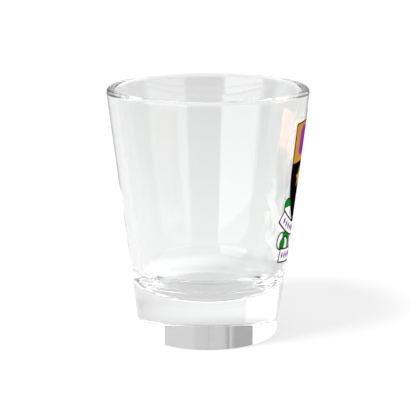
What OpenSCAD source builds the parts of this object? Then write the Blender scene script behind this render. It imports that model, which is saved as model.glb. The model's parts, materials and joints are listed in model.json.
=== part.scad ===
// Shot glass: one pressed glass body with a wrap-on badge printed in separate ink films.
// Millimetres. +Z is up, the glass stands on z = 0 and the badge faces -Y.

/* [Glass] */
// Height from the table to the top of the lip
height = 60; // [50:1:75]
// Outer diameter of the wall at the lip's height
top_d = 48.4; // [44:0.2:56]
// Outer diameter that the wall would have at the table
base_d = 34; // [30:0.2:38]
// Wall thickness at the lip, measured level
lip_wall = 2.1; // [1.6:0.1:3]
// Wall thickness beside the cavity floor, measured level
foot_wall = 2.9; // [2.2:0.1:4]
// Height of the cavity floor above the table
floor_z = 10; // [8:0.5:14]
// Radius between the cavity's wall and its floor
floor_fillet = 7; // [4:0.5:9]
// Radius of the gently dished cavity floor
floor_dish_r = 60; // [40:5:200]
// Radius of the rounded heel, round the flat foot
heel_r = 0.4; // [0.2:0.1:1.5]

/* [Print] */
// Thickness of the white under-base film
white_film = 0.08; // [0.05:0.01:0.12]
// Thickness of each colour film on top of it
colour_film = 0.06; // [0.04:0.01:0.1]
// Width of the black outlines
line_w = 0.35; // [0.25:0.05:0.5]
// Half the width of the shield, round the wall
shield_half_w = 10.9; // [9.5:0.1:12]
// Height of the shield's top corners above the table
shield_top = 53; // [51:0.5:54]
// Height of the line between the shield's upper and lower parts
shield_split = 43.3; // [42:0.1:45]
// Size of a star, centre to point
star_r = 2.7; // [2:0.1:3]
// Half the height of a ribbon band
band_half_h = 1.8; // [1.6:0.1:2]

/* [Hidden] */

LEFT = -1;
RIGHT = 1;
ARC_STEPS = 12;
NOTCH_STEPS = 6;

// Glass: the wall lines and where the arcs touch them
outer_draft = atan2((top_d - base_d) / 2, height);
inner_top_r = top_d / 2 - lip_wall;
inner_foot_r = outer_r(floor_z) - foot_wall;
inner_slope = (inner_top_r - inner_foot_r) / (height - floor_z);
inner_draft = atan(inner_slope);
wall_growth = (foot_wall - lip_wall) / (height - floor_z);
lip_r = lip_wall / (1 / cos(outer_draft) + 1 / cos(inner_draft) - wall_growth);
lip_z = height - lip_r;
lip_centre = [outer_r(lip_z) - lip_r / cos(outer_draft), lip_z];
heel_centre = [outer_r(heel_r) - heel_r / cos(outer_draft), heel_r];

// Cavity floor: a fillet circle that touches the inner wall and the dish from inside
dish_centre_z = floor_z + floor_dish_r;
touch_r = inner_r(dish_centre_z) - floor_fillet / cos(inner_draft);
slope_sq = 1 + pow(inner_slope, 2);
fillet_drop = (touch_r * inner_slope
    + sqrt(pow(touch_r * inner_slope, 2)
        - slope_sq * (pow(touch_r, 2) - pow(floor_dish_r - floor_fillet, 2)))) / slope_sq;
fillet_centre = [touch_r - inner_slope * fillet_drop, dish_centre_z - fillet_drop];
dish_angle = atan2(fillet_centre[0], fillet_drop);

// Print: artwork is drawn as [distance round the wall, height] and wrapped by angle
print_ref_r = 22;
print_low = 14;
print_high = 58;
shoulder_z = 41;
shield_arc_r = 17;
peak_half_w = 3.6;
peak_arc_r = 4.2;
panel_half_w = 8;
panel_low = 44.7;
panel_high = 52;
panel_notch_r = 0.9;
star_inner = 0.42;
star_high_z = 39.2;
star_low_z = 32.6;
star_spread = 4.9;
// A band sags: [lowest height of its centre line, radius, half angle]
upper_band = [26, 19.4, 43];
lower_band = [20, 60, 11.8];
// The ribbon's left end: centres, radii and the angles between which each arc is drawn
arch_centre = [-9.9, 22.9];
arch_outer_r = 4.1;
arch_inner_r = 2.4;
arch_span = [-20, 160];
curl_centre = [-12, 24.9];
curl_r = 2.3;
curl_span = [75, 285];
knob_centre = [-11.2, 23.9];
knob_r = 1.5;
knob_span = [0, 330];
tail_centre = [-10.6, 33.3];
tail_r = 1.9;
tail_span = [-10, 190];
ear_out = -12.4;
ear_in = -9;
ear_high = 33.2;
ear_low_out = 31.4;
ear_low_in = 30;
// Lozenges along the bands: half sizes, spacing, and how many on each side of the middle one
mark_half_w = 0.55;
mark_half_h = 0.95;
mark_pitch = 1.75;
upper_marks = 7;
lower_marks = 6;

function outer_r(z) = base_d / 2 + (top_d - base_d) / 2 * z / height;
function inner_r(z) = inner_foot_r + inner_slope * (z - floor_z);

// Points of an arc about c, from angle a0 to a1
function arc(c, r, a0, a1, steps = ARC_STEPS) =
    [for (i = [0:steps]) let (a = a0 + (a1 - a0) * i / steps) c + r * [cos(a), sin(a)]];

function mirrored(points) = [for (i = [len(points) - 1:-1:0]) [-points[i][0], points[i][1]]];

// Artwork to the flat plane in front of the glass, so that it lies round the cone
function wrapped(points) =
    [for (p = points) [outer_r(p[1]) * sin(p[0] / print_ref_r * 180 / PI), p[1]]];

// ---- Glass ----

// Half section: flat foot, heel, wall, lip, cavity wall, fillet and dished floor
function glass_section() =
    concat(
        [[0, 0]],
        arc(heel_centre, heel_r, -90, -outer_draft),
        arc(lip_centre, lip_r, -outer_draft, 180 - inner_draft, 2 * ARC_STEPS),
        arc(fillet_centre, floor_fillet, -inner_draft, -90 + dish_angle),
        arc([0, dish_centre_z], floor_dish_r, -90 + dish_angle, -90)
    );

module glass_body() {
    color("azure", 0.35)
        rotate_extrude($fn = 128) polygon(glass_section());
}

// ---- Print: outlines. Each takes an inset, so that its outline is what the inset leaves ----

// Right half of the shield, from the point of its foot up to the peak of its top edge
function shield_half(inset) =
    let (
        foot_r = shield_arc_r - inset,
        foot_x = shield_half_w - shield_arc_r,
        peak_r = peak_arc_r + inset
    )
    concat(
        arc([foot_x, shoulder_z], foot_r, -acos(-foot_x / foot_r), 0),
        [[shield_half_w - inset, shield_top - inset]],
        arc([peak_half_w, shield_top + peak_arc_r], peak_r, -90, -90 - asin(peak_half_w / peak_r))
    );

// The two halves share the foot and the peak, so the left one leaves them out
function shield_points(inset) =
    let (half = shield_half(inset), left = mirrored(half))
    concat(half, [for (i = [1:len(left) - 2]) left[i]]);

// Panel with a round notch out of each corner
function panel_points() =
    let (right = concat(
        arc([panel_half_w, panel_low], panel_notch_r, 180, 90, NOTCH_STEPS),
        arc([panel_half_w, panel_high], panel_notch_r, 270, 180, NOTCH_STEPS)
    ))
    concat(right, mirrored(right));

// Five points and the five inner corners between them, a tenth of a turn apart
function star_points(centre) =
    [for (i = [0:9]) let (a = 90 + 36 * i, r = i % 2 == 0 ? star_r : star_r * star_inner)
        centre + r * [cos(a), sin(a)]];

// Outline of a sagging band
function band_points(band, inset) =
    let (
        c = [0, band[0] + band[1]],
        half_a = band[2] - inset / band[1] * 180 / PI,
        half_h = band_half_h - inset
    )
    concat(
        arc(c, band[1] + half_h, -90 - half_a, -90 + half_a, 2 * ARC_STEPS),
        arc(c, band[1] - half_h, -90 + half_a, -90 - half_a, 2 * ARC_STEPS)
    );

// The ribbon's green back, arching down from the upper band to the lower one
function arch_points(inset) =
    concat(
        arc(arch_centre, arch_outer_r - inset, arch_span[0], arch_span[1]),
        arc(arch_centre, arch_inner_r + inset, arch_span[1], arch_span[0])
    );

// The ribbon's white front, curling round outside the arch
function curl_points(inset) = arc(curl_centre, curl_r - inset, curl_span[0], curl_span[1]);

// The green back again, rolled up inside the curl
function knob_points(inset) =
    arc(knob_centre, knob_r - inset, knob_span[0], knob_span[1], 2 * ARC_STEPS);

// The green tail that rises beside the shield
function tail_points(inset) = arc(tail_centre, tail_r - inset, tail_span[0], tail_span[1]);

// The white fold under the tail
function ear_points(inset) =
    [
        [ear_out + inset, ear_high],
        [ear_in, ear_high],
        [ear_in, ear_low_in],
        [ear_out + inset, ear_low_out],
    ];

// Lozenge number i of a band, counted from its middle
function mark_points(band, i) =
    let (
        a = -90 + i * mark_pitch / band[1] * 180 / PI,
        out = [cos(a), sin(a)],
        along = [-sin(a), cos(a)]
    )
    [for (k = [[1, 0], [0, 1], [-1, 0], [0, -1]])
        [0, band[0] + band[1]] + band[1] * out + k[0] * mark_half_w * along + k[1] * mark_half_h * out];

// ---- Print: flat regions, each without what lies over it ----

module area(points) {
    polygon(wrapped(points));
}

module sided(side, points) {
    area(side == LEFT ? points : mirrored(points));
}

module bands(inset) {
    area(band_points(upper_band, inset));
    area(band_points(lower_band, inset));
}

module shield_area(inset) {
    difference() {
        area(shield_points(inset));
        bands(0);
    }
}

module knob_area(side, inset) {
    difference() {
        sided(side, knob_points(inset));
        bands(0);
    }
}

module curl_area(side, inset) {
    difference() {
        sided(side, curl_points(inset));
        sided(side, knob_points(0));
        bands(0);
    }
}

module arch_area(side, inset) {
    difference() {
        sided(side, arch_points(inset));
        sided(side, curl_points(0));
        sided(side, knob_points(0));
        bands(0);
    }
}

module tail_area(side, inset) {
    difference() {
        sided(side, tail_points(inset));
        area(shield_points(0));
        bands(0);
    }
}

module ear_area(side, inset) {
    difference() {
        sided(side, ear_points(inset));
        sided(side, tail_points(0));
        area(shield_points(0));
        bands(0);
    }
}

// Both sides' folds, tails and curls
module ribbon_ends(inset) {
    for (side = [LEFT, RIGHT]) {
        knob_area(side, inset);
        curl_area(side, inset);
        arch_area(side, inset);
        tail_area(side, inset);
        ear_area(side, inset);
    }
}

module star_area(at) {
    area(star_points(at));
}

module below_split() {
    translate([-top_d / 2, 0]) square([top_d, shield_split]);
}

// ---- Print: films on the cone ----

// Conical skin between two distances from the wall
module film(from, to) {
    rotate_extrude($fn = 128)
        polygon([
            [outer_r(print_low) + from, print_low],
            [outer_r(print_low) + to, print_low],
            [outer_r(print_high) + to, print_high],
            [outer_r(print_high) + from, print_high],
        ]);
}

// The part of a film that lies behind a flat region on the -Y side
module printed(from, to) {
    intersection() {
        film(from, to);
        rotate([90, 0, 0]) linear_extrude(top_d) children();
    }
}

module white_print() {
    color("white") printed(0, white_film) children();
}

module colour_print(ink) {
    color(ink) printed(white_film, white_film + colour_film) children();
}

module shield_white_base() {
    white_print() shield_area(0);
}

module ribbon_white_base() {
    white_print() {
        bands(0);
        ribbon_ends(0);
    }
}

module shield_outline() {
    colour_print("black") difference() {
        shield_area(0);
        area(shield_points(line_w));
    }
}

module ribbon_outline() {
    colour_print("black") {
        difference() {
            bands(0);
            bands(line_w);
        }
        difference() {
            ribbon_ends(0);
            ribbon_ends(line_w);
        }
    }
}

module chief_gold_ground() {
    colour_print("goldenrod") difference() {
        area(shield_points(line_w));
        below_split();
        area(panel_points());
    }
}

module chief_purple_panel() {
    colour_print("darkorchid") area(panel_points());
}

module field_black_ground() {
    colour_print("black") difference() {
        intersection() {
            shield_area(line_w);
            below_split();
        }
        star_area([-star_spread, star_high_z]);
        star_area([star_spread, star_high_z]);
        star_area([0, star_low_z]);
    }
}

module star(at) {
    colour_print("goldenrod") star_area(at);
}

module arch_green(side) {
    colour_print("green") arch_area(side, line_w);
}

module knob_green(side) {
    colour_print("green") knob_area(side, line_w);
}

module tail_green(side) {
    colour_print("green") tail_area(side, line_w);
}

// A row of lozenges along a band, the same on both sides of the middle
module band_marks(band, last) {
    colour_print("mediumorchid")
        for (i = [-last:last]) area(mark_points(band, i));
}

glass_body();
shield_white_base();
ribbon_white_base();
shield_outline();
ribbon_outline();
chief_gold_ground();
chief_purple_panel();
field_black_ground();
star([-star_spread, star_high_z]);  // star_left
star([star_spread, star_high_z]);  // star_right
star([0, star_low_z]);  // star_lower
arch_green(LEFT);  // arch_green_left
arch_green(RIGHT);  // arch_green_right
knob_green(LEFT);  // knob_green_left
knob_green(RIGHT);  // knob_green_right
tail_green(LEFT);  // tail_green_left
tail_green(RIGHT);  // tail_green_right
band_marks(upper_band, upper_marks);  // upper_band_marks
band_marks(lower_band, lower_marks);  // lower_band_marks
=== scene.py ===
"""Shot glass: clear pressed glass with a shield-and-ribbon badge printed on one side, in a pale studio."""

import json
import math

import bmesh
import bpy
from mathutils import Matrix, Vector


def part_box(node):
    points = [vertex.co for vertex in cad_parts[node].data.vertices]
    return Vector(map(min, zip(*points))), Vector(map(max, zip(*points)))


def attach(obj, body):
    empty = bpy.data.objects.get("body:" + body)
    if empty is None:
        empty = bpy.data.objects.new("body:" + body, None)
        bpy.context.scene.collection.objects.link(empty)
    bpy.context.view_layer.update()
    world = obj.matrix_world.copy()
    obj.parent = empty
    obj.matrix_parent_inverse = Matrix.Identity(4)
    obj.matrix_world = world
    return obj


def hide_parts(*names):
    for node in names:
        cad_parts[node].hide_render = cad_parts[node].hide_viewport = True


MM = 0.001
BODY = "root"

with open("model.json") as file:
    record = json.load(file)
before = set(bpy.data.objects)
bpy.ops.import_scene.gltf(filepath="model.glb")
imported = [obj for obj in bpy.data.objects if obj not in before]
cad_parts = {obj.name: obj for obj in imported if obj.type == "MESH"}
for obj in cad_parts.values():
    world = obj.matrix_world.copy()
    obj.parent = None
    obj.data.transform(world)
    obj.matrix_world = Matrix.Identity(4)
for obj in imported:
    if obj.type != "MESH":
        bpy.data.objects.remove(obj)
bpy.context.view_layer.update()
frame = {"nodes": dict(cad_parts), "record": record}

# ---- Sizes, in metres. The height comes from the frame, and the rest repeats the design ----

GLASS_LOW, GLASS_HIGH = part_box("glass_body")
HEIGHT = GLASS_HIGH.z - GLASS_LOW.z
TOP_R = 24.2 * MM
FOOT_R = 17 * MM
LIP_WALL = 2.1 * MM
FOOT_WALL = 2.9 * MM
FLOOR_Z = 10 * MM
FLOOR_FILLET = 7 * MM
FLOOR_DISH_R = 60 * MM
HEEL_R = 0.4 * MM
TAPER = (TOP_R - FOOT_R) / HEIGHT

# Thickness of the inks, and the height where the shield's gold meets its black
WHITE_FILM = 0.08 * MM
COLOUR_FILM = 0.06 * MM
AIR_FILM = 0.004 * MM
SPLIT_Z = 43.3 * MM

# Steps along the section and round the glass, and how near its end a straight stretch is held straight
LATHE_SEGMENTS = 256
HEEL_STEPS = 8
LIP_STEPS = 32
CORNER_STEPS = 24
WALL_STEPS = 24
SUPPORT = 0.1 * MM
POLE_MERGE = 0.001 * MM

# ---- Node helpers ----


def connect(tree, value, socket):
    """Links an output to a socket, or sets a plain value on it."""
    if isinstance(value, bpy.types.NodeSocket):
        tree.links.new(value, socket)
    else:
        socket.default_value = value


def add(tree, kind, inputs=None, **options):
    """Adds a node, with its options and its inputs by name or number."""
    node = tree.nodes.new(kind)
    for option, value in options.items():
        setattr(node, option, value)
    for socket, value in (inputs or {}).items():
        connect(tree, value, node.inputs[socket])
    return node


def maths(tree, operation, *values):
    """Output of a Math node."""
    return add(tree, "ShaderNodeMath", dict(enumerate(values)), operation=operation).outputs[0]


def ramp(tree, value, span, result=(0.0, 1.0), smooth=True):
    """Output of a Map Range node from one span to another, clamped."""
    values = {
        "Value": value,
        "From Min": span[0],
        "From Max": span[1],
        "To Min": result[0],
        "To Max": result[1],
    }
    kind = "SMOOTHSTEP" if smooth else "LINEAR"
    return add(tree, "ShaderNodeMapRange", values, interpolation_type=kind).outputs["Result"]


def noise(tree, place, scale, detail):
    """Output of a Noise Texture node, from 0 to 1."""
    values = {"Vector": place, "Scale": scale, "Detail": detail}
    return add(tree, "ShaderNodeTexNoise", values).outputs["Fac"]


def sockets(tree, inputs, outputs):
    """Makes a group's named sockets, and returns its input values and its output node."""
    for kind, names in (("INPUT", inputs), ("OUTPUT", outputs)):
        for name, socket_type in names.items():
            tree.interface.new_socket(name, in_out=kind, socket_type="NodeSocket" + socket_type)
    return add(tree, "NodeGroupInput").outputs, add(tree, "NodeGroupOutput")


def use_group(tree, group, inputs):
    """Places a shader group in a tree with its own values."""
    node = tree.nodes.new("ShaderNodeGroup")
    node.node_tree = group
    for socket, value in inputs.items():
        connect(tree, value, node.inputs[socket])
    return node.outputs


# ---- Mesh helpers ----


def finished(name, mesh, material=None):
    """Makes an object at the origin from a mesh."""
    if material:
        mesh.materials.append(material)
    piece = bpy.data.objects.new(name, mesh)
    bpy.context.scene.collection.objects.link(piece)
    return piece


def mesh_of(name, bm):
    """Turns a bmesh into a mesh and frees it."""
    mesh = bpy.data.meshes.new(name)
    bm.to_mesh(mesh)
    bm.free()
    return mesh


def grown(name, tree, start, inputs):
    """Runs a geometry tree on a start mesh, and returns the result as an object with a plain mesh."""
    carrier = finished(name + "_start", start)
    modifier = carrier.modifiers.new("build", "NODES")
    modifier.node_group = tree
    for item in tree.interface.items_tree:
        if item.in_out == "INPUT" and item.name in inputs:
            modifier[item.identifier] = inputs[item.name]
    evaluated = carrier.evaluated_get(bpy.context.evaluated_depsgraph_get())
    mesh = bpy.data.meshes.new_from_object(evaluated)
    carrier.modifiers.remove(modifier)
    bpy.data.objects.remove(carrier)
    mesh.name = name
    return finished(name, mesh)


def end_tree(tree, out, geometry, material):
    """Ends a geometry tree in Realize Instances and Set Material."""
    real = add(tree, "GeometryNodeRealizeInstances", {"Geometry": geometry})
    painted = add(tree, "GeometryNodeSetMaterial", {"Geometry": real.outputs[0], "Material": material})
    connect(tree, painted.outputs[0], out.inputs[0])


# ---- Glass: its half section, and the lathe that turns it ----


def outer_r(z):
    """Radius of the outside wall at a height."""
    return FOOT_R + TAPER * z


def arc(centre, radius, start, end, steps):
    """Points of an arc in the section plane, angles in radians."""
    turns = (start + (end - start) * i / steps for i in range(steps + 1))
    return [(centre[0] + radius * math.cos(a), centre[1] + radius * math.sin(a)) for a in turns]


def straight(start, end):
    """Points between the ends of a straight stretch, with a close one at each end to hold its shading."""
    near = SUPPORT / math.dist(start, end)
    shares = [near, *(i / WALL_STEPS for i in range(1, WALL_STEPS)), 1 - near]
    return [tuple(s + (e - s) * t for s, e in zip(start, end)) for t in shares]


def glass_section():
    """Half section from the middle of the foot, up and over the lip, to the middle of the cup's floor."""
    draft = math.atan(TAPER)
    inner_foot = outer_r(FLOOR_Z) - FOOT_WALL
    slope = (TOP_R - LIP_WALL - inner_foot) / (HEIGHT - FLOOR_Z)
    inner_draft = math.atan(slope)
    growth = (FOOT_WALL - LIP_WALL) / (HEIGHT - FLOOR_Z)
    lip_r = LIP_WALL / (1 / math.cos(draft) + 1 / math.cos(inner_draft) - growth)
    lip = (outer_r(HEIGHT - lip_r) - lip_r / math.cos(draft), HEIGHT - lip_r)
    heel = (outer_r(HEEL_R) - HEEL_R / math.cos(draft), HEEL_R)

    dish_z = FLOOR_Z + FLOOR_DISH_R
    touch = inner_foot + slope * FLOOR_DISH_R - FLOOR_FILLET / math.cos(inner_draft)
    square = 1 + slope**2
    reach = (FLOOR_DISH_R - FLOOR_FILLET) ** 2
    drop = (touch * slope + math.sqrt((touch * slope) ** 2 - square * (touch**2 - reach))) / square
    corner = (touch - slope * drop, dish_z - drop)

    down = -math.pi / 2
    meet = down + math.atan2(corner[0], drop)
    heel_arc = arc(heel, HEEL_R, down, -draft, HEEL_STEPS)
    lip_arc = arc(lip, lip_r, -draft, math.pi - inner_draft, LIP_STEPS)
    corner_arc = arc(corner, FLOOR_FILLET, -inner_draft, meet, CORNER_STEPS)
    dish_arc = arc((0, dish_z), FLOOR_DISH_R, meet, down, CORNER_STEPS)
    foot = [(0, 0), (heel[0] - SUPPORT, 0)]
    wall_out = straight(heel_arc[-1], lip_arc[0])
    wall_in = straight(lip_arc[-1], corner_arc[0])
    return foot + heel_arc + wall_out + lip_arc + wall_in + corner_arc + dish_arc[1:]


def lathe_tree():
    """Turns a section's points, in the X and Z plane, round the Z axis into a closed skin."""
    tree = bpy.data.node_groups.new("lathe", "GeometryNodeTree")
    given, out = sockets(
        tree,
        {"Section": "Geometry", "Segments": "Int", "Merge Distance": "Float", "Material": "Material"},
        {"Skin": "Geometry"},
    )
    size = add(tree, "GeometryNodeAttributeDomainSize", {"Geometry": given["Section"]})
    count = size.outputs["Point Count"]
    columns = maths(tree, "ADD", given["Segments"], 1)
    grid = add(tree, "GeometryNodeMeshGrid", {"Vertices X": columns, "Vertices Y": count})
    index = add(tree, "GeometryNodeInputIndex").outputs[0]
    row = add(tree, "FunctionNodeIntegerMath", {0: index, 1: count}, operation="MODULO").outputs[0]
    column = add(tree, "FunctionNodeIntegerMath", {0: index, 1: count}, operation="DIVIDE").outputs[0]
    turn = maths(tree, "MULTIPLY", maths(tree, "DIVIDE", column, given["Segments"]), 2 * math.pi)
    position = add(tree, "GeometryNodeInputPosition").outputs[0]
    sample = add(tree, "GeometryNodeSampleIndex", data_type="FLOAT_VECTOR")
    for socket, value in (("Geometry", given["Section"]), ("Value", position), ("Index", row)):
        connect(tree, value, sample.inputs[socket])
    place = add(tree, "ShaderNodeVectorRotate", {"Vector": sample.outputs[0], "Angle": turn})
    place.rotation_type = "Z_AXIS"
    moved = add(
        tree, "GeometryNodeSetPosition", {"Geometry": grid.outputs["Mesh"], "Position": place.outputs[0]}
    )
    merged = add(
        tree,
        "GeometryNodeMergeByDistance",
        {"Geometry": moved.outputs[0], "Distance": given["Merge Distance"]},
    )
    smooth = add(tree, "GeometryNodeSetShadeSmooth", {"Geometry": merged.outputs[0]})
    end_tree(tree, out, smooth.outputs[0], given["Material"])
    return tree


def glass_piece(material):
    """The whole pressed body, as one closed skin."""
    section = bpy.data.meshes.new("section")
    section.from_pydata([(r, 0, z) for r, z in glass_section()], [], [])
    inputs = {"Segments": LATHE_SEGMENTS, "Merge Distance": POLE_MERGE, "Material": material}
    glass = grown("glass", lathe_tree(), section, inputs)
    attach(glass, BODY)
    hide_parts("glass_body")


# ---- Glass material ----

GLASS_COLOUR = (0.984, 0.989, 0.988, 1)
GLASS_IOR = 1.45
RIPPLE_DEPTH = 0.006 * MM
RIPPLES = {
    "Rings Low": 9.6 * MM,
    "Rings High": 20 * MM,
    "Ring Pitch": 1.5 * MM,
    "Ring Wobble": 9.0,
    "Wobble Scale": 90.0,
    "Ring": 0.5,
    "Wave Pitch": 14 * MM,
    "Wave": 1.0,
}
# Shares of the ringed height over which the rings grow, and from which they die away
RINGS_GROW = (0.0, 0.15)
RINGS_DIE = (1.0, 0.5)


def ripple_group():
    """Height of the faint rings and waves that pressing leaves, strongest round the cup's bottom corner."""
    tree = bpy.data.node_groups.new("pressed_ripple", "ShaderNodeTree")
    given, out = sockets(tree, {name: "Float" for name in RIPPLES}, {"Height": "Float"})
    place = add(tree, "ShaderNodeTexCoord").outputs["Object"]
    z = add(tree, "ShaderNodeSeparateXYZ", {0: place}).outputs["Z"]

    wobble = maths(tree, "MULTIPLY", noise(tree, place, given["Wobble Scale"], 1.0), given["Ring Wobble"])
    turns = maths(tree, "DIVIDE", z, given["Ring Pitch"])
    rings = maths(tree, "SINE", maths(tree, "MULTIPLY_ADD", turns, 2 * math.pi, wobble))
    span = maths(tree, "SUBTRACT", given["Rings High"], given["Rings Low"])
    share = maths(tree, "DIVIDE", maths(tree, "SUBTRACT", z, given["Rings Low"]), span)
    fade = maths(tree, "MULTIPLY", ramp(tree, share, RINGS_GROW), ramp(tree, share, RINGS_DIE))
    faded = maths(tree, "MULTIPLY", rings, maths(tree, "MULTIPLY", fade, given["Ring"]))

    waves = noise(tree, place, maths(tree, "DIVIDE", 1.0, given["Wave Pitch"]), 0.0)
    connect(tree, maths(tree, "MULTIPLY_ADD", waves, given["Wave"], faded), out.inputs["Height"])
    return tree


def glass_material():
    """Clear soda-lime glass, with almost no colour of its own."""
    material = bpy.data.materials.new("clear_glass")
    material.use_nodes = True
    tree = material.node_tree
    shader = tree.nodes["Principled BSDF"]
    shader.inputs["Base Color"].default_value = GLASS_COLOUR
    shader.inputs["Transmission Weight"].default_value = 1
    shader.inputs["Roughness"].default_value = 0
    shader.inputs["IOR"].default_value = GLASS_IOR
    height = use_group(tree, ripple_group(), RIPPLES)["Height"]
    bump = add(tree, "ShaderNodeBump", {"Height": height, "Distance": RIPPLE_DEPTH, "Strength": 1.0})
    connect(tree, bump.outputs[0], shader.inputs["Normal"])
    return material


# ---- Ink materials ----

INKS = {
    "white_ink": (0.93, 0.93, 0.92),
    "black_ink": (0.002, 0.0015, 0.002),
    "gold_ink": (0.7, 0.33, 0.045),
    "purple_ink": (0.33, 0.035, 0.38),
    "green_ink": (0.0, 0.33, 0.012),
}
# White under the shield, seen from inside the glass: painted shade below the line where its gold meets its
# black, and painted light in the gold's colour above it
SHIELD_BACK_PAINTED_SHADE = (0.82, 0.82, 0.82, 1)
SHIELD_BACK_PAINTED_LIGHT = (0.95, 0.91, 0.84, 1)
THROUGH_WHITE = 0.3
CLOUDS = {"Cloud": 0.25, "Cloud Scale": 420.0, "Grain Scale": 5200.0}
GRAIN_SPAN = (0.3, 0.7)
INK_ROUGH = (0.42, 0.6)
GRAIN_DEPTH = 0.003 * MM
GRAIN_STRENGTH = 0.6


def grain_group():
    """Screen-printed ink: cloudy density, and the fine grain that the mesh leaves in its surface."""
    tree = bpy.data.node_groups.new("print_grain", "ShaderNodeTree")
    given, out = sockets(
        tree,
        {"Ink": "Color", "Cloud": "Float", "Cloud Scale": "Float", "Grain Scale": "Float"},
        {"Colour": "Color", "Roughness": "Float", "Height": "Float"},
    )
    place = add(tree, "ShaderNodeTexCoord").outputs["Object"]
    cloud = noise(tree, place, given["Cloud Scale"], 3.0)
    grain = noise(tree, place, given["Grain Scale"], 2.0)
    lift = maths(tree, "MULTIPLY_ADD", maths(tree, "SUBTRACT", cloud, 0.5), given["Cloud"], 1.0)
    clouded = add(tree, "ShaderNodeVectorMath", {0: given["Ink"], "Scale": lift}, operation="SCALE")
    connect(tree, clouded.outputs[0], out.inputs["Colour"])
    connect(tree, ramp(tree, grain, GRAIN_SPAN, INK_ROUGH, smooth=False), out.inputs["Roughness"])
    connect(tree, grain, out.inputs["Height"])
    return tree


def ink_shader(material, grain, colour):
    """Gives a material's Principled shader one ink's grain and colour, and returns the shader."""
    material.use_nodes = True
    tree = material.node_tree
    shader = tree.nodes["Principled BSDF"]
    surface = use_group(tree, grain, {"Ink": colour, **CLOUDS})
    fine = {"Height": surface["Height"], "Distance": GRAIN_DEPTH, "Strength": GRAIN_STRENGTH}
    bump = add(tree, "ShaderNodeBump", fine)
    connect(tree, surface["Colour"], shader.inputs["Base Color"])
    connect(tree, surface["Roughness"], shader.inputs["Roughness"])
    connect(tree, bump.outputs[0], shader.inputs["Normal"])
    shader.inputs["Specular IOR Level"].default_value = 0
    return shader


def let_light_through(material, shader, colour):
    """Mixes a thin ink's shader with light that comes through it from behind."""
    tree = material.node_tree
    through = add(tree, "ShaderNodeBsdfTranslucent", {"Color": colour})
    mixed = add(tree, "ShaderNodeMixShader", {0: THROUGH_WHITE, 1: shader.outputs[0]})
    connect(tree, through.outputs[0], mixed.inputs[2])
    connect(tree, mixed.outputs[0], tree.nodes["Material Output"].inputs["Surface"])


def ink_material(slot, grain):
    """One printing ink. The white lets some light through."""
    material = bpy.data.materials.new(slot)
    colour = (*INKS[slot], 1)
    shader = ink_shader(material, grain, colour)
    if slot == "white_ink":
        let_light_through(material, shader, colour)
    return material


def shield_base_material(grain):
    """White under the shield, with painted light: pale gold above the split stands for light through the
    gold ink, and grey below is painted shade under the black.
    """
    material = bpy.data.materials.new("white_ink_under_shield")
    material.use_nodes = True
    tree = material.node_tree
    place = add(tree, "ShaderNodeTexCoord").outputs["Object"]
    z = add(tree, "ShaderNodeSeparateXYZ", {0: place}).outputs["Z"]
    # Painted light and shade: the white's back is coloured by height, standing in for light that the gold
    # ink lets through and the black ink stops
    above = maths(tree, "GREATER_THAN", z, SPLIT_Z)
    tint = add(tree, "ShaderNodeMix", data_type="RGBA")
    for name, value in (("Factor", above), ("A", SHIELD_BACK_PAINTED_SHADE), ("B", SHIELD_BACK_PAINTED_LIGHT)):
        ends = [s for s in tint.inputs if s.name == name and s.enabled]
        connect(tree, value, ends[0])
    colour = next(s for s in tint.outputs if s.enabled)
    shader = ink_shader(material, grain, colour)
    let_light_through(material, shader, colour)
    return material


# ---- Printed films ----

SLICE_DEGREES = 2
PRINT_REACH_DEGREES = 40
SHARP_DEGREES = 30
CORNER_MERGE = 0.002 * MM
CUT_SNAP = 0.0001 * MM


def film_tree():
    """Lays a film's two faces on the tapered wall, at their distances from it."""
    tree = bpy.data.node_groups.new("lay_on_wall", "GeometryNodeTree")
    given, out = sockets(
        tree,
        {
            "Film": "Geometry",
            "Foot Radius": "Float",
            "Taper": "Float",
            "Inner": "Float",
            "Outer": "Float",
            "Material": "Material",
        },
        {"Skin": "Geometry"},
    )
    position = add(tree, "GeometryNodeInputPosition").outputs[0]
    at = add(tree, "ShaderNodeSeparateXYZ", {0: position}).outputs
    flat = add(tree, "ShaderNodeCombineXYZ", {0: at["X"], 1: at["Y"]}).outputs[0]
    radius = add(tree, "ShaderNodeVectorMath", {0: flat}, operation="LENGTH").outputs["Value"]
    wall = maths(tree, "MULTIPLY_ADD", at["Z"], given["Taper"], given["Foot Radius"])
    middle = maths(tree, "MULTIPLY", maths(tree, "ADD", given["Inner"], given["Outer"]), 0.5)
    outside = maths(tree, "GREATER_THAN", maths(tree, "SUBTRACT", radius, wall), middle)
    depth = maths(tree, "SUBTRACT", given["Outer"], given["Inner"])
    stand = maths(tree, "MULTIPLY_ADD", outside, depth, given["Inner"])
    stretch = maths(tree, "DIVIDE", maths(tree, "ADD", wall, stand), radius)
    x = maths(tree, "MULTIPLY", at["X"], stretch)
    y = maths(tree, "MULTIPLY", at["Y"], stretch)
    place = add(tree, "ShaderNodeCombineXYZ", {0: x, 1: y, 2: at["Z"]}).outputs[0]
    moved = add(tree, "GeometryNodeSetPosition", {"Geometry": given["Film"], "Position": place})
    end_tree(tree, out, moved.outputs[0], given["Material"])
    return tree


def sliced(node):
    """A merged copy of a film's CAD mesh, cut into narrow slices so that it can follow the round wall."""
    bm = bmesh.new()
    bm.from_mesh(frame["nodes"][node].data)
    bmesh.ops.remove_doubles(bm, verts=bm.verts, dist=CORNER_MERGE)
    for degrees in range(-PRINT_REACH_DEGREES, PRINT_REACH_DEGREES + 1, SLICE_DEGREES):
        a = math.radians(degrees)
        everything = bm.verts[:] + bm.edges[:] + bm.faces[:]
        across = (math.cos(a), math.sin(a), 0)
        bmesh.ops.bisect_plane(bm, geom=everything, dist=CUT_SNAP, plane_co=(0, 0, 0), plane_no=across)
    bmesh.ops.triangulate(bm, faces=bm.faces)
    bmesh.ops.recalc_face_normals(bm, faces=bm.faces)
    return mesh_of(node + "_slices", bm)


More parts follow.
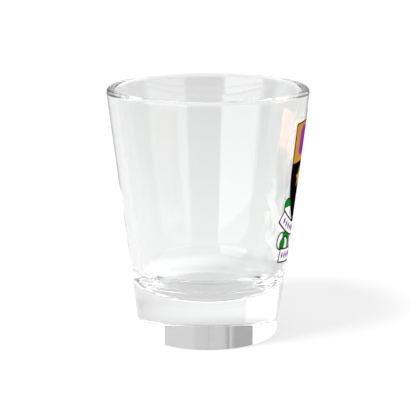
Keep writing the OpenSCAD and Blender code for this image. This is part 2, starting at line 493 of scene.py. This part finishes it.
def film_piece(node, slot, material, tree):
    """One printed film: white on the glass over a trace of air, or a colour on the white."""
    white = slot == "white_ink"
    inputs = {
        "Foot Radius": FOOT_R,
        "Taper": TAPER,
        "Inner": AIR_FILM if white else WHITE_FILM,
        "Outer": WHITE_FILM if white else WHITE_FILM + COLOUR_FILM,
        "Material": material,
    }
    film = grown("print_" + node, tree, sliced(node), inputs)
    film.data.shade_smooth()
    film.data.set_sharp_from_angle(angle=math.radians(SHARP_DEGREES))
    film.visible_diffuse = white
    film.visible_shadow = white
    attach(film, BODY)
    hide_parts(node)
    return film


def printed_badge():
    """Every printed film, in its slot's ink. Returns the films."""
    grain = grain_group()
    inks = {slot: ink_material(slot, grain) for slot in INKS}
    shield_base = shield_base_material(grain)
    tree = film_tree()
    films = []
    for part in frame["record"]["subparts"]:
        node = part["node"]
        slot = part["material_slot"]
        if slot in inks:
            ink = shield_base if node == "shield_white_base" else inks[slot]
            films.append(film_piece(node, slot, ink, tree))
    return films


# ---- Studio ----

# Directions are seen from the glass, in degrees: azimuth 0 is at the camera and grows to its left

CAMERA_TURN = math.radians(-90)
AIR_GAP = 0.1 * MM
TABLE_R = 0.42
FLOOR_R = 30
FLOOR_SIDES = 96
FLOOR_COLOUR = (0.2, 0.2, 0.2, 1)
FLOOR_ROUGHNESS = 0.9
# Glow of the floor in the glass, with a painted pool of light under it, and as seen directly, brighter far
# off
FLOOR_GLOW = 0.47
POOL_GLOW = 0.59
POOL_SPAN = (50 * MM, 30 * MM)
FLOOR_GLOW_SEEN = 0.70
SWEEP_GLOW = 0.86
SWEEP_SPAN = (100 * MM, 600 * MM)

# Light cards: (from, to) azimuth, (from, to) elevation, brightness, softness of the sides in degrees
CARDS = [
    ((18, 75), (-14, 5), 3.4, 0.7),
    ((22, 75), (5, 14), 4.6, 0.7),
    ((24, 75), (14, 35), 2.9, 0.7),
    ((96, 152.5), (-1, 45), 2.0, 0.7),
    ((-87, -29), (-14, 7), 2.2, 0.7),
    ((-87, -29), (7, 35), 0.3, 0.7),
    ((-128, -87), (-14, 10), 0.45, 0.7),
    ((-128, -87), (10, 45), 2.0, 0.7),
    ((-153.5, -128), (-1, 45), 3.0, 0.7),
    ((168.7, 182), (-1, 36), 0.69, 4.0),
    ((152.5, 168.7), (-1, 36), 0.44, 0.7),
    ((-182, -173.3), (-1, 36), 0.69, 0.7),
    ((-173.3, -153.5), (-1, 36), 0.77, 0.7),
    ((96, 182), (-90, -1), 0.83, 0.7),
    ((-182, -128), (-90, -1), 0.83, 0.7),
    ((-128, 96), (-90, -14), 0.83, 0.7),
    ((75, 96), (-14, -1), 0.83, 0.7),
    ((75, 96), (-1, 35), 0.2, 0.7),
    ((-29, 18), (-14, -1), 0.83, 0.7),
    ((150, 182), (38, 60), 1.6, 0.7),
    ((-182, -150), (38, 60), 1.6, 0.7),
]
EDGE_SOFTNESS = 1.0
DARK_LEVEL = 0.02
CEILING = (38, 66)
CEILING_LEVEL = 0.9
CEILING_SOFTNESS = 4.0
ZENITH_LEVEL = 0.3

# Lamps: azimuth, distance from the axis, height, size across and watts
SHADOW_LAMP = (55, 0.26, 0.5, 0.16, 5.0)
BADGE_LAMP = (90, 0.4, 0.12, 0.3, 1.8)


def around(azimuth, distance, height):
    """A place at an azimuth in degrees, at a distance from the axis and a height."""
    a = math.radians(azimuth) - CAMERA_TURN
    return Vector((-distance * math.sin(a), -distance * math.cos(a), height))


def floor_material():
    """Pale floor that glows more where it is seen directly, as an overlit sweep does, with a painted pool
    of light under the glass.
    """
    material = bpy.data.materials.new("pale_floor")
    material.use_nodes = True
    tree = material.node_tree
    shader = tree.nodes["Principled BSDF"]
    shader.inputs["Base Color"].default_value = FLOOR_COLOUR
    shader.inputs["Emission Color"].default_value = (1, 1, 1, 1)
    shader.inputs["Roughness"].default_value = FLOOR_ROUGHNESS
    shader.inputs["Specular IOR Level"].default_value = 0
    place = add(tree, "ShaderNodeTexCoord").outputs["Object"]
    radius = add(tree, "ShaderNodeVectorMath", {0: place}, operation="LENGTH").outputs["Value"]
    # Painted pool of light: the glow seen through the glass rises close under it
    through_glass = ramp(tree, radius, POOL_SPAN, (FLOOR_GLOW, POOL_GLOW))
    direct = ramp(tree, radius, SWEEP_SPAN, (FLOOR_GLOW_SEEN, SWEEP_GLOW))
    seen = add(tree, "ShaderNodeLightPath").outputs["Is Camera Ray"]
    glow = ramp(tree, seen, (0.0, 1.0), (through_glass, direct), smooth=False)
    connect(tree, glow, shader.inputs["Emission Strength"])
    return material


def studio_floor():
    """A table under the glass, and a wide floor that the glass doesn't pick up. Returns the table."""
    material = floor_material()
    bm = bmesh.new()
    bmesh.ops.create_circle(bm, cap_ends=True, segments=FLOOR_SIDES, radius=TABLE_R)
    bmesh.ops.translate(bm, verts=bm.verts, vec=(0, 0, -AIR_GAP))
    table = finished("studio_table", mesh_of("studio_table", bm), material)
    bm = bmesh.new()
    for radius in (TABLE_R, FLOOR_R):
        bmesh.ops.create_circle(bm, segments=FLOOR_SIDES, radius=radius)
    bmesh.ops.bridge_loops(bm, edges=bm.edges)
    bmesh.ops.recalc_face_normals(bm, faces=bm.faces)
    bmesh.ops.translate(bm, verts=bm.verts, vec=(0, 0, -AIR_GAP))
    floor = finished("studio_floor", mesh_of("studio_floor", bm), material)
    floor.visible_transmission = False
    floor.visible_glossy = False
    return table


def card_group():
    """Light of one card in a direction: its brightness within its span, and nothing outside it."""
    tree = bpy.data.node_groups.new("light_card", "ShaderNodeTree")
    spans = (("Azimuth", "Left", "Right", "Side Softness"), ("Elevation", "Low", "High", "Edge Softness"))
    names = ("Brightness", *spans[0], *spans[1])
    given, out = sockets(tree, {name: "Float" for name in names}, {"Light": "Float"})
    light = given["Brightness"]
    for angle, low, high, soft in spans:
        for end, sign in ((low, 1.0), (high, -1.0)):
            inwards = maths(tree, "MULTIPLY", maths(tree, "SUBTRACT", given[angle], given[end]), sign)
            share = ramp(tree, maths(tree, "DIVIDE", inwards, given[soft]), (-1.0, 1.0))
            light = maths(tree, "MULTIPLY", light, share)
    connect(tree, light, out.inputs["Light"])
    return tree


def studio_light():
    """Light cards and a soft ceiling, with dark gaps for the glass's edges. Seen directly it is white."""
    world = bpy.data.worlds.new("studio")
    bpy.context.scene.world = world
    world.use_nodes = True
    tree = world.node_tree
    tree.nodes.clear()
    direction = add(tree, "ShaderNodeTexCoord").outputs["Generated"]
    turned = add(tree, "ShaderNodeVectorRotate", {"Vector": direction, "Angle": -CAMERA_TURN})
    turned.rotation_type = "Z_AXIS"
    x, y, z = add(tree, "ShaderNodeSeparateXYZ", {0: turned.outputs[0]}).outputs
    back_x = maths(tree, "MULTIPLY", x, -1.0)
    back_y = maths(tree, "MULTIPLY", y, -1.0)
    azimuth = maths(tree, "DEGREES", maths(tree, "ARCTAN2", back_x, back_y))
    elevation = maths(tree, "DEGREES", maths(tree, "ARCSINE", z))
    total = DARK_LEVEL
    for edge, change in zip(CEILING, (CEILING_LEVEL, ZENITH_LEVEL - CEILING_LEVEL)):
        span = (edge - CEILING_SOFTNESS, edge + CEILING_SOFTNESS)
        total = maths(tree, "ADD", total, ramp(tree, elevation, span, (0.0, change)))
    card = card_group()
    for (left, right), (low, high), brightness, softness in CARDS:
        values = {
            "Azimuth": azimuth,
            "Elevation": elevation,
            "Left": left,
            "Right": right,
            "Low": low,
            "High": high,
            "Side Softness": softness,
            "Edge Softness": EDGE_SOFTNESS,
            "Brightness": brightness,
        }
        total = maths(tree, "ADD", total, use_group(tree, card, values)["Light"])
    seen = add(tree, "ShaderNodeLightPath").outputs["Is Camera Ray"]
    light = add(tree, "ShaderNodeBackground", {"Strength": maths(tree, "MAXIMUM", total, seen)})
    add(tree, "ShaderNodeOutputWorld", {"Surface": light.outputs[0]})


def soft_lamp(name, values):
    """A square lamp aimed at the glass, which the glass itself doesn't pick up."""
    azimuth, distance, height, size, watts = values
    data = bpy.data.lights.new(name, "AREA")
    data.energy = watts
    data.size = size
    lamp = bpy.data.objects.new(name, data)
    bpy.context.scene.collection.objects.link(lamp)
    lamp.location = around(azimuth, distance, height)
    lamp.rotation_euler = (-lamp.location).to_track_quat("-Z", "Y").to_euler()
    lamp.visible_glossy = False
    lamp.visible_transmission = False
    return lamp


def soft_lamps(films, table):
    """One lamp for the faint shadow on the table, and one that lights the badge's back through the cup."""
    soft_lamp("shadow_lamp", SHADOW_LAMP)
    badge_lamp = soft_lamp("badge_lamp", BADGE_LAMP)
    lit = bpy.data.collections.new("lit_by_badge_lamp")
    for film in films:
        lit.objects.link(film)
    shading = bpy.data.collections.new("shades_badge_lamp")
    shading.objects.link(table)
    badge_lamp.light_linking.receiver_collection = lit
    badge_lamp.light_linking.blocker_collection = shading


# ---- Camera ----

LENS_MM = 114.8
SENSOR_MM = 36
CAMERA_DISTANCE = 312.3 * MM
CAMERA_HEIGHT = 106.0 * MM
CAMERA_PITCH = math.radians(13.62)
LIGHT_BOUNCES = 64


def product_camera():
    """A long lens a little above the lip, that looks down on the glass's left side."""
    data = bpy.data.cameras.new("camera")
    data.lens = LENS_MM
    data.sensor_width = SENSOR_MM
    data.clip_start = 0.01
    camera = bpy.data.objects.new("camera", data)
    bpy.context.scene.collection.objects.link(camera)
    camera.location = around(0, CAMERA_DISTANCE, CAMERA_HEIGHT)
    camera.rotation_euler = (math.pi / 2 - CAMERA_PITCH, 0, CAMERA_TURN)
    bpy.context.scene.camera = camera


def light_paths():
    """Light turns many times inside the thick foot, so it gets many bounces, and white stays white."""
    scene = bpy.context.scene
    scene.view_settings.view_transform = "Standard"
    scene.cycles.max_bounces = LIGHT_BOUNCES
    scene.cycles.transmission_bounces = LIGHT_BOUNCES
    scene.cycles.glossy_bounces = LIGHT_BOUNCES


# ---- Assembly ----

product_camera()
glass_piece(glass_material())
films = printed_badge()
table = studio_floor()
studio_light()
soft_lamps(films, table)
light_paths()
